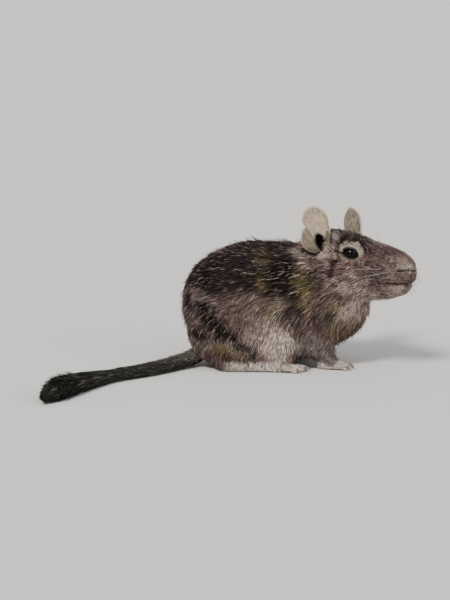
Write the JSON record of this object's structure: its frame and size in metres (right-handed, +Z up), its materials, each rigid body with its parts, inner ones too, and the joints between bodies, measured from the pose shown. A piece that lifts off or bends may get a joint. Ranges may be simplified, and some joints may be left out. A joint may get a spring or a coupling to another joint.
{
  "type": "degu",
  "caption": "Life-size crouching degu, its head turned to its right, with tall cupped ears, folded legs and a bushy-tipped tail laid along the floor.",
  "frame": {"origin": "on the floor, under the middle of the animal's bounding box", "axes": "+X forward along the body, +Y to the animal's left, +Z up"},
  "size_m": [0.178, 0.1212, 0.0819],
  "materials": {
    "back_coat": "short dark brown fur with lighter tips",
    "flank_coat": "soft grey-brown fur",
    "face_coat": "very short brown fur, cream round the eyes",
    "nape_coat": "ochre fur",
    "foot_coat": "pale, nearly bare skin with short white hairs",
    "tail_coat": "dark bristly hair, black in the brush",
    "ear_skin": "thin skin with a fine pale down",
    "nose_skin": "moist bare skin",
    "eye": "wet and black"
  },
  "bodies": {
    "root": {"head": "face_coat", "neck": "nape_coat", "torso": "back_coat", "nose": "nose_skin", "right_eye": "eye", "left_eye": "eye", "right_ear": "ear_skin", "left_ear": "ear_skin", "right_thigh": "back_coat", "left_thigh": "back_coat", "right_shank": "flank_coat", "left_shank": "flank_coat", "right_hind_foot": "foot_coat", "left_hind_foot": "foot_coat", "right_upper_arm": "flank_coat", "left_upper_arm": "flank_coat", "right_forearm": "flank_coat", "left_forearm": "flank_coat", "right_forefoot": "foot_coat", "left_forefoot": "foot_coat", "tail_root": "tail_coat", "tail_middle": "tail_coat", "tail_brush": "tail_coat"}
  },
  "joints": []
}
